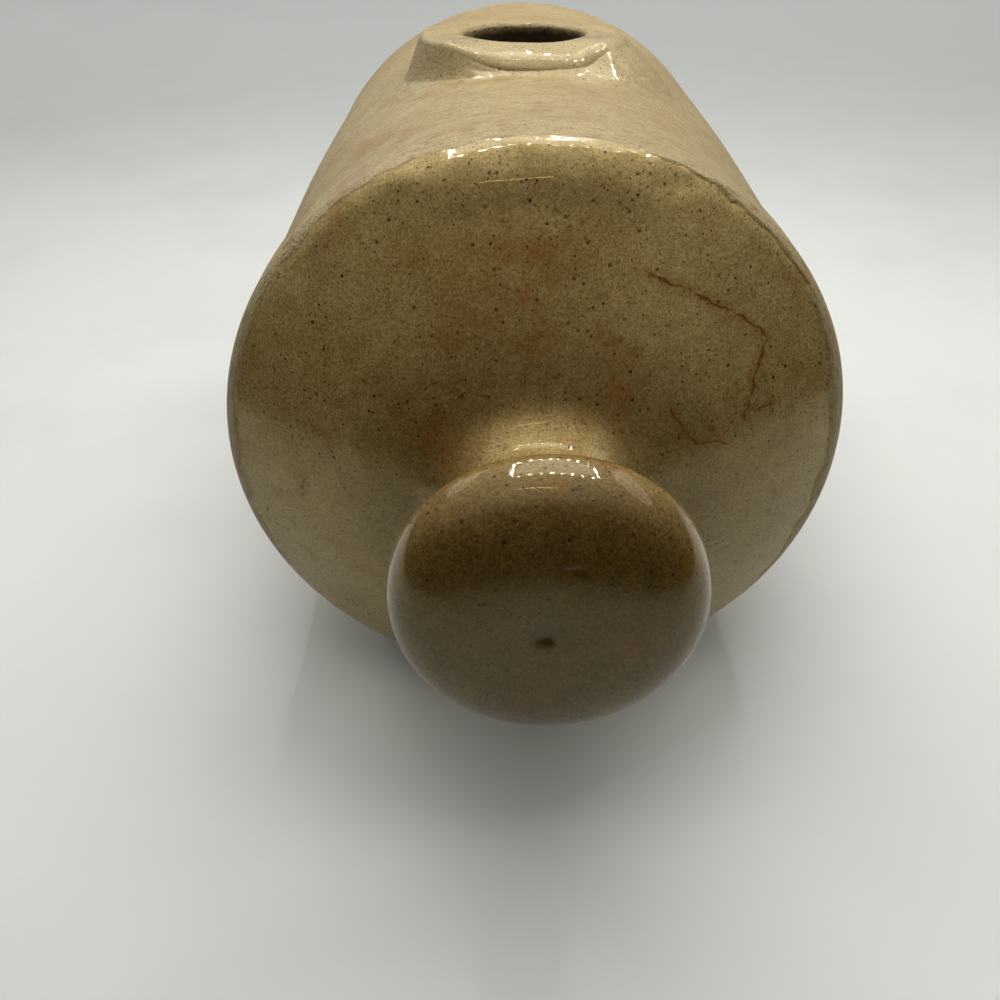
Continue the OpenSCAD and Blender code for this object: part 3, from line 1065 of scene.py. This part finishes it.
def makePlug():
    headR = plugHigh[0]
    bottom = plugLow[2] - ledgeZ
    under = washerHigh[2] - ledgeZ
    top = under + stopper["headT"]
    wind = mouth["thread"] / 2
    neckR = stopper["neckR"]
    plugR = neckR + mouth["thread"]
    edge = stopper["edge"]
    soft = stopper["underEdge"]
    flatR = headR - edge
    threadTop = -stopper["threadGap"]
    end = [[0, bottom], [0.6 * plugR, bottom], [plugR - stopper["lead"], bottom]]
    thread = even([[plugR, bottom + stopper["leadUp"]], [plugR, threadTop]], stopper["step"])
    rows = rowsAt(end + thread, belowAll, wind)
    rows += rowsAt([[neckR, threadTop], [neckR, under], [headR - soft, under]], belowAll)
    rim = arc((headR - soft, under + soft), soft, -90, 0, 5)[1:] + arc((flatR, top - edge), edge, 0, 90, 8)
    crown = [[r, top + stopper["dome"] * (1 - (r / flatR) ** 2)] for r in np.linspace(flatR, 0, 24)[1:]]
    rows += rowsAt(rim + crown, belowAll)
    return turned("stopperPlug", rows, brownGlaze, stopper["sides"], mouthCentre,
                  lying=False, pitch=mouth["pitch"])


def makeGrip():
    # a bar of clay pinched between finger and thumb
    half = [(high - low) / 2 for low, high in zip(gripLow, gripHigh)]
    middle = [(high + low) / 2 for low, high in zip(gripLow, gripHigh)]
    work = bmesh.new()
    bmesh.ops.create_cube(work, size=2.0)
    bmesh.ops.subdivide_edges(work, edges=work.edges, cuts=23, use_grid_fill=True)
    power = stopper["gripSquare"]
    for vert in work.verts:
        norm = sum(abs(value) ** power for value in vert.co) ** (1 / power)
        x, y, z = (value / norm for value in vert.co)
        pinch = 1 - stopper["gripWaist"] * math.exp(-(x / stopper["gripPinch"]) ** 2) * (0.5 + 0.5 * z)
        vert.co = (Vector((x * half[0], y * half[1] * pinch, z * half[2])) + Vector(middle)) * mm
    mesh = bpy.data.meshes.new("stopperGrip")
    work.to_mesh(mesh)
    work.free()
    mesh.materials.append(brownGlaze)
    return smoothFaces(newObject("stopperGrip", mesh), 60)


sealingWasher = makeWasher()
stopperPlug = makePlug()
stopperGrip = makeGrip()
print("stopper turned", len(stopperPlug.data.polygons))


# What each piece stands for, rides on and is finished as
for piece, node, body, slot in (
        (barrelWall, "barrel", "bottle", "barrel_glaze"),
        (rearEnd, "rear_end", "bottle", "barrel_glaze"),
        (shoulderDome, "shoulder", "bottle", "shoulder_glaze"),
        (carryKnob, "knob", "bottle", "shoulder_glaze"),
        (fillerBoss, "filler_collar", "bottle", "barrel_glaze"),
        (sealingWasher, "sealing_washer", "washer", "washer_rubber"),
        (stopperPlug, "stopper_plug", "stopper", "stopper_glaze"),
        (stopperGrip, "stopper_grip", "stopper", "stopper_glaze")):
    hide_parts(node)
    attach(piece, body)


# Stage, in metres: a pale table top whose rounded front edge lies below the picture

stage = {
    "front": -0.43,
    "fade": (-0.22, -0.36),  # where painted shade darkens the table's front
    "bow": 1.3,  # how fast the edge draws back to the sides, per metre
    "halfWidth": 1.25,
    "back": 2.3,
    "pale": paint(206, 208, 202),
    "smudge": paint(198, 200, 194),
    # painted light: the far part of the table is paler
    "far": paint(228, 231, 226),
    "frontShade": paint(70, 70, 68),
    "darkSide": 0.08,  # light of the room on the camera's side, and overhead and behind
    "paleSide": 0.35,
    "ceiling": 0.72,
}


def makeTable():
    xs = np.linspace(-stage["halfWidth"], stage["halfWidth"], 81)
    front = [(x, stage["front"] + stage["bow"] * x * x, 0) for x in xs]
    behind = [(x, stage["back"], 0) for x in xs]
    count = len(front)
    faces = [(k, k + 1, count + k + 1, count + k) for k in range(count - 1)]
    mesh = bpy.data.meshes.new("tableTop")
    mesh.from_pydata(front + behind, [], faces)
    table = newObject("tableTop", mesh)
    made, shader, place = newMaterial("paleTable")
    smudge = cloud(place, 9, 1.0, 5).ease(0.4, 0.8)
    top = smudge.over(stage["pale"], stage["smudge"])
    # painted light: the table grows paler far behind the bottle
    top = place.part(1).ease(0.4, 1.2).over(top, stage["far"])
    # painted shade: the table darkens towards its front edge
    away = place.part(1) - stage["bow"] * place.part(0) * place.part(0)
    away.ease(*stage["fade"]).over(top, stage["frontShade"]).into(shader.inputs["Base Color"])
    (0.5 + 0.2 * smudge).into(shader.inputs["Roughness"])
    shader.inputs["Specular IOR Level"].default_value = 0.25
    mesh.materials.append(made)


def makeRoom():
    room = bpy.data.worlds.new("room")
    room.use_nodes = True
    scene.world = room
    tree = room.node_tree
    way = Wire(tree.nodes.new("ShaderNodeTexCoord").outputs["Generated"])
    behind = (way.part(1) + 0.6 * way.part(2)).ease(-0.45, 0.25)
    light = behind * (stage["paleSide"] - stage["darkSide"]) + stage["darkSide"]
    low = 0.1 + 0.6 * way.part(1).ease(0.5, 0.95)
    light = light * (low + (1 - low) * way.part(2).ease(0.05, 0.65))
    above = (0.2 * way.part(1) + 0.98 * way.part(2)).ease(0.5, 1.0)
    light = light + above * stage["ceiling"]
    bundle(light, light, light).into(tree.nodes["Background"].inputs["Color"])


lamps = {
    "loop": (0.04, 0.125, 0.42),  # loop of small lamps over the bottle
    "loopSize": (0.32, 0.19),
    "loopCount": 30,
    "loopPower": 2.8,  # all together
    "bulb": 0.0025,
    "strip": (-0.010, -0.130, 0.2015),  # thin warm lamp over the knob
    "stripSize": (0.054, 0.0014),
    "stripTurn": (0, -20, -12),
    "stripPower": 0.004,
    "stripWarm": (1.0, 0.82, 0.5),
    "sides": ((0.45, 0.17, 0.41), (-0.37, 0.41, 0.38)),  # soft panels at both sides
    "sideSize": (0.40, 0.20),
    "sideShares": (1.0, 0.8, 0.6, 0.4),  # each as ever smaller ones in one place, so that its edge is soft
    "sidePower": 0.2,
    "sideAim": (0.0, -0.10, 0.10),
    "pane": 0.3,  # power of the pale pane that the loop runs round
    "fill": (0.0, -0.04, 1.0),  # wide lamp high over the knob, too soft to be mirrored
    "fillSize": (0.85, 0.85),
    "fillPower": 2.9,
}


def areaLamp(name, size, power):
    light = bpy.data.lights.new(name, "AREA")
    light.shape = "ELLIPSE"
    light.size, light.size_y = size
    light.energy = power
    return newObject(name, light)


def makeLights():
    lamp = areaLamp("strip", lamps["stripSize"], lamps["stripPower"])
    lamp.data.color = lamps["stripWarm"]
    lamp.location = lamps["strip"]
    lamp.rotation_euler = [math.radians(angle) for angle in lamps["stripTurn"]]
    for where in lamps["sides"]:
        for share in lamps["sideShares"]:
            size = [share * reach for reach in lamps["sideSize"]]
            lamp = areaLamp("side", size, lamps["sidePower"] * share ** 2)
            lamp.location = where
            aim = Vector(lamps["sideAim"]) - Vector(where)
            lamp.rotation_euler = aim.to_track_quat("-Z", "Y").to_euler()
    lamp = areaLamp("fill", lamps["fillSize"], lamps["fillPower"])
    lamp.location = lamps["fill"]
    lamp.visible_glossy = False
    lamp = areaLamp("pane", lamps["loopSize"], lamps["pane"])
    lamp.location = lamps["loop"]
    width, depth = lamps["loopSize"]
    for k in range(lamps["loopCount"]):
        t = 2 * math.pi * k / lamps["loopCount"]
        bulb = bpy.data.lights.new("bulb", "POINT")
        bulb.energy = lamps["loopPower"] / lamps["loopCount"]
        bulb.shadow_soft_size = lamps["bulb"]
        lamp = newObject("bulb", bulb)
        reach = (abs(math.cos(t)) ** 6 + abs(math.sin(t)) ** 6) ** (-1 / 6)
        offset = Vector((width / 2 * reach * math.cos(t), depth / 2 * reach * math.sin(t), 0))
        lamp.location = Vector(lamps["loop"]) + offset


shot = {
    "place": (-0.00628, -0.26925, 0.21055),  # metres
    "yaw": -0.82,  # degrees
    "pitch": 35.63,
    "roll": -1.58,
    "lens": 34.235,  # on a 36 mm square picture
}


def makeCamera():
    yaw, pitch, roll = (math.radians(shot[name]) for name in ("yaw", "pitch", "roll"))
    forward = Vector((math.sin(yaw) * math.cos(pitch), math.cos(yaw) * math.cos(pitch), -math.sin(pitch)))
    right = Vector((math.cos(yaw), -math.sin(yaw), 0))
    up = right.cross(forward)
    across = right * math.cos(roll) + up * math.sin(roll)
    upright = up * math.cos(roll) - right * math.sin(roll)
    data = bpy.data.cameras.new("camera")
    data.lens = shot["lens"]
    data.sensor_width = 36
    data.clip_start = 0.01
    camera = newObject("camera", data)
    turn = Matrix((across, upright, -forward)).transposed().to_4x4()
    camera.matrix_world = Matrix.Translation(shot["place"]) @ turn
    scene.camera = camera


makeTable()
makeRoom()
makeLights()
makeCamera()
print("stage set")
